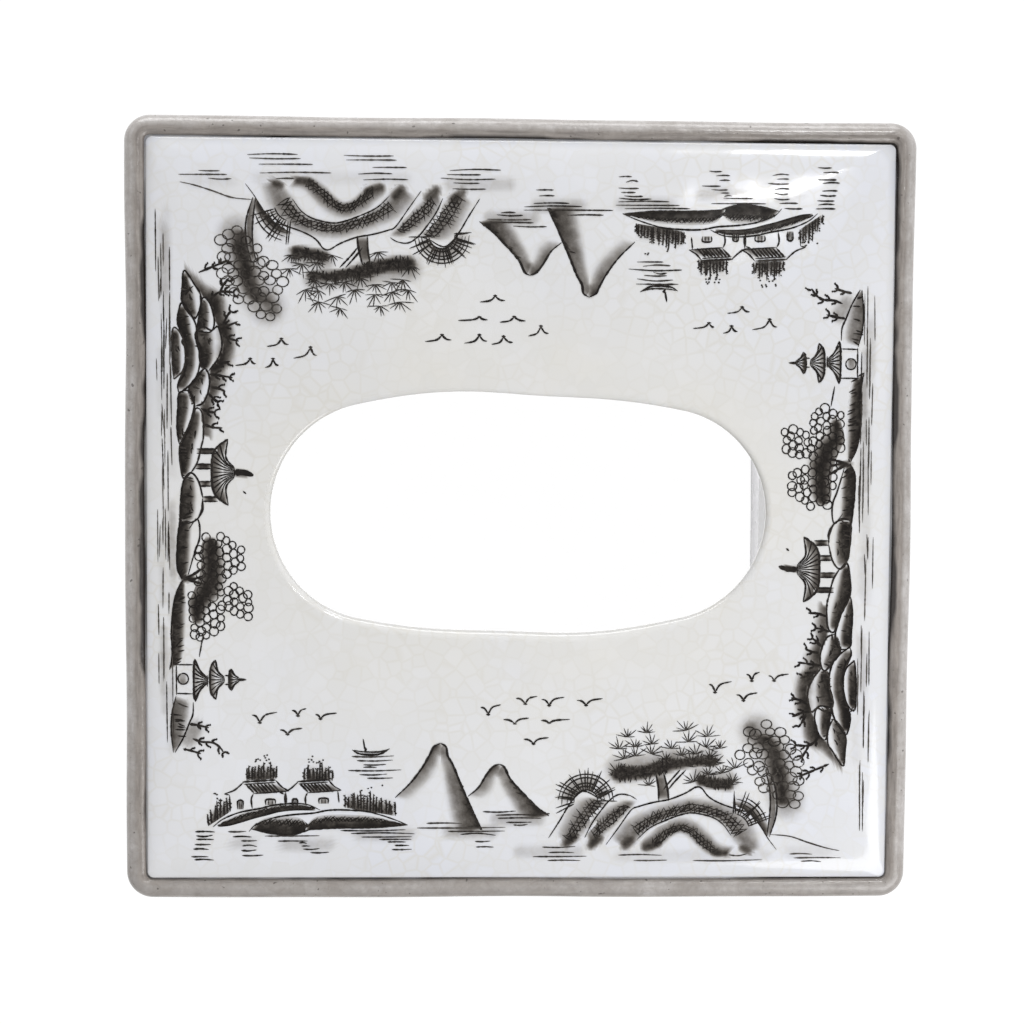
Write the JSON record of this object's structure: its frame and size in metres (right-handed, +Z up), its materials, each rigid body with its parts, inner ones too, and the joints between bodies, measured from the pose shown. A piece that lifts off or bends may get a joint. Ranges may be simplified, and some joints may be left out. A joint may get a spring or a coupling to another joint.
{
  "type": "tissue box cover",
  "caption": "Square ceramic tissue box cover with pillowed crackle-glazed panels, rounded bead edging, an oval tissue slot and an open base that drops over a cube carton.",
  "frame": {"origin": "centre of the open base, on the table plane", "axes": "+Z up through the slot, +X along the slot's long axis, +Y across the slot"},
  "size_m": [0.1522, 0.1522, 0.1411],
  "materials": {
    "crackle_glaze": "glossy white crackle glaze with ink painting",
    "bead_wash": "grey-brown iron wash under clear glaze",
    "inner_glaze": "plain glaze"
  },
  "bodies": {
    "root": {"top_panel": "crackle_glaze", "front_wall": "crackle_glaze", "top_bead_front": "bead_wash", "base_bead_front": "bead_wash", "top_coil_front": "inner_glaze", "right_wall": "crackle_glaze", "top_bead_right": "bead_wash", "base_bead_right": "bead_wash", "top_coil_right": "inner_glaze", "back_wall": "crackle_glaze", "top_bead_back": "bead_wash", "base_bead_back": "bead_wash", "top_coil_back": "inner_glaze", "left_wall": "crackle_glaze", "top_bead_left": "bead_wash", "base_bead_left": "bead_wash", "top_coil_left": "inner_glaze", "corner_bead_front_right": "bead_wash", "corner_coil_front_right": "inner_glaze", "corner_bead_back_right": "bead_wash", "corner_coil_back_right": "inner_glaze", "corner_bead_back_left": "bead_wash", "corner_coil_back_left": "inner_glaze", "corner_bead_front_left": "bead_wash", "corner_coil_front_left": "inner_glaze"}
  },
  "joints": []
}
